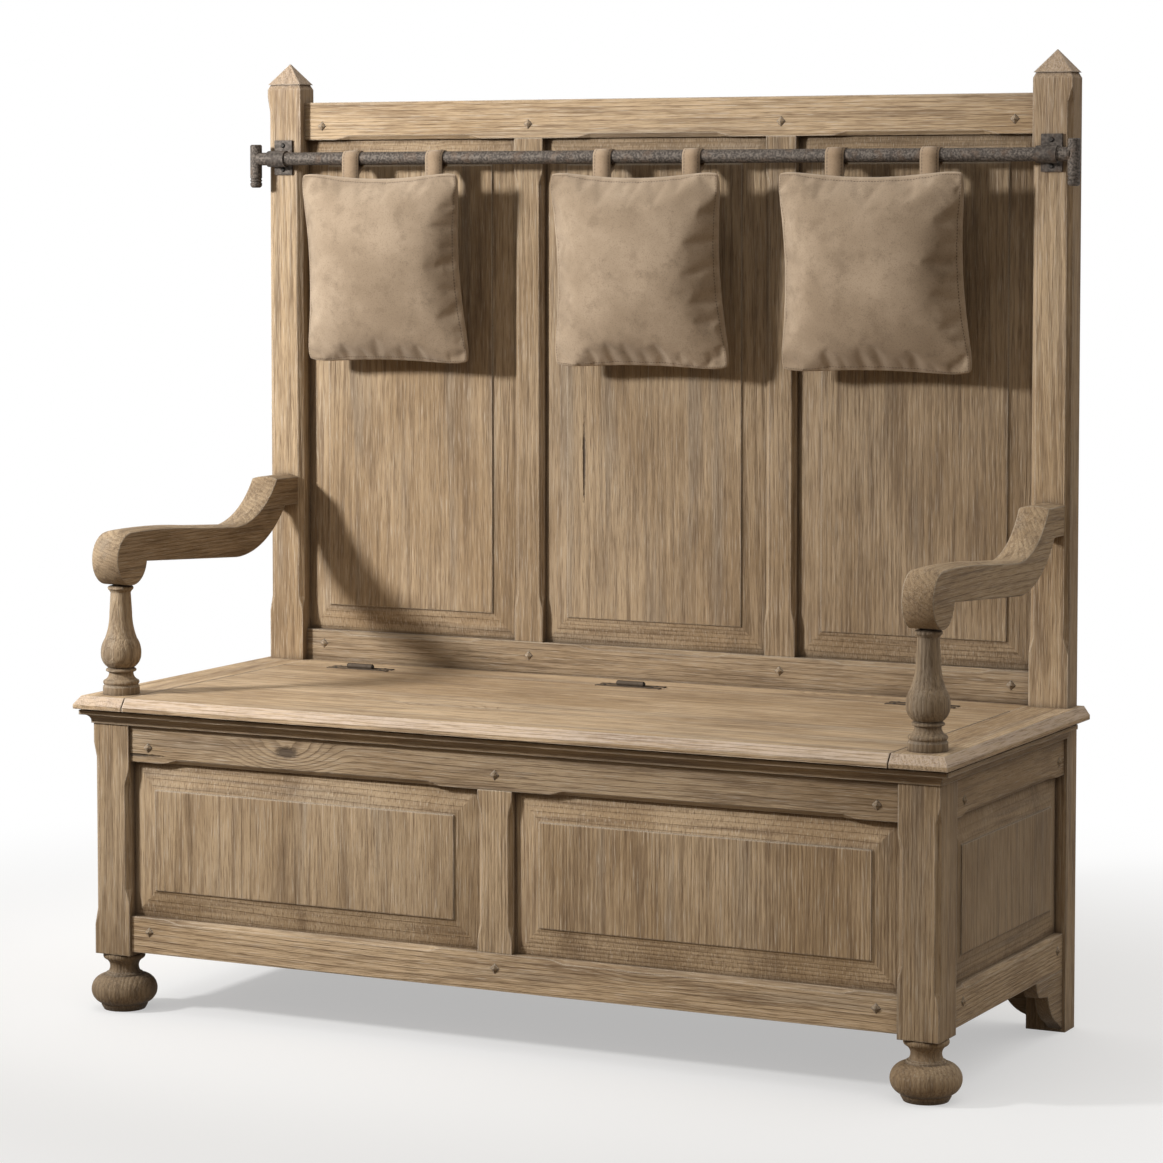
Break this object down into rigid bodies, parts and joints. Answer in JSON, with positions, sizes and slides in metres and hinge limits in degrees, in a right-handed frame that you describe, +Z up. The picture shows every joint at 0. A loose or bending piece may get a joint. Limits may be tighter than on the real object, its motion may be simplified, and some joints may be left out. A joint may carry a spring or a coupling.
{
  "type": "settle bench",
  "caption": "High-backed settle with a panelled chest seat under a lifting lid, scrolled arms on balusters, and square cushions strapped to an iron rod.",
  "frame": {"origin": "on the floor, midway along the bench's length and depth", "axes": "+X along the bench to the right of someone facing it, +Y from the front to the back, +Z up"},
  "size_m": [1.524, 0.626, 1.566],
  "materials": {
    "oak_frame": "weathered, open grain",
    "oak_panel": "weathered, open grain",
    "oak_board": "weathered, worn smooth",
    "oak_turned": "weathered, turned and carved",
    "oak_inside": "plain sawn",
    "oak_peg": "dark end grain",
    "rod_iron": "hammered, dull",
    "hinge_iron": "aged, dull",
    "black_iron": "black, dull",
    "suede": "brushed suede cloth",
    "strap": "soft suede leather"
  },
  "bodies": {
    "frame": {"arm_left": "oak_turned", "arm_right": "oak_turned", "back_brackets": "oak_frame", "back_lower_rail": "oak_frame", "back_muntin_left": "oak_frame", "back_muntin_right": "oak_frame", "back_panel_centre": "oak_panel", "back_panel_left": "oak_panel", "back_panel_right": "oak_panel", "back_top_rail": "oak_frame", "baluster_left": "oak_turned", "baluster_right": "oak_turned", "bracket_screws": "black_iron", "bun_foot_left": "oak_turned", "bun_foot_right": "oak_turned", "chest_back_board": "oak_inside", "chest_back_rail": "oak_inside", "chest_floor": "oak_inside", "cove_front": "oak_frame", "cove_sides": "oak_frame", "front_bottom_rail": "oak_frame", "front_muntin": "oak_frame", "front_panel_left": "oak_panel", "front_panel_right": "oak_panel", "front_stile_left": "oak_frame", "front_stile_right": "oak_frame", "front_top_rail": "oak_frame", "hinge_leaves_strip": "hinge_iron", "hinge_pins": "hinge_iron", "hinge_rail": "oak_inside", "hinge_screws_strip": "hinge_iron", "pegs": "oak_peg", "rear_post_left": "oak_frame", "rear_post_right": "oak_frame", "rod_bracket_left": "rod_iron", "rod_bracket_right": "rod_iron", "seat_back_strip": "oak_board", "seat_end_board_left": "oak_board", "seat_end_board_right": "oak_board", "side_bottom_rail_left": "oak_frame", "side_bottom_rail_right": "oak_frame", "side_brackets": "oak_frame", "side_panel_left": "oak_panel", "side_panel_right": "oak_panel", "side_top_rail_left": "oak_frame", "side_top_rail_right": "oak_frame"},
    "lid": {"lid": "oak_board", "lid_battens": "oak_inside", "hinge_leaves_lid": "hinge_iron", "hinge_screws_lid": "hinge_iron"},
    "rod": {"rod": "rod_iron", "rod_end_bar_left": "rod_iron", "rod_end_bar_right": "rod_iron"},
    "cushion_left": {"cushion_left": "suede", "straps_left": "strap"},
    "cushion_centre": {"cushion_centre": "suede", "straps_centre": "strap"},
    "cushion_right": {"cushion_right": "suede", "straps_right": "strap"}
  },
  "joints": [
    {"name": "lid_hinge", "type": "hinge", "parent": "frame", "child": "lid", "pos_m": [0, 0.202, 0.5258], "axis": [-1, 0, 0], "range_deg": [0, 95]},
    {"name": "rod_turn", "type": "hinge", "parent": "frame", "child": "rod", "pos_m": [0, 0.246, 1.4], "axis": [1, 0, 0], "continuous": true},
    {"name": "cushion_left_swing", "type": "hinge", "parent": "frame", "child": "cushion_left", "pos_m": [0, 0.246, 1.4], "axis": [-1, 0, 0], "range_deg": [-4, 75]},
    {"name": "cushion_centre_swing", "type": "hinge", "parent": "frame", "child": "cushion_centre", "pos_m": [0, 0.246, 1.4], "axis": [-1, 0, 0], "range_deg": [-4, 75]},
    {"name": "cushion_right_swing", "type": "hinge", "parent": "frame", "child": "cushion_right", "pos_m": [0, 0.246, 1.4], "axis": [-1, 0, 0], "range_deg": [-4, 75]}
  ]
}
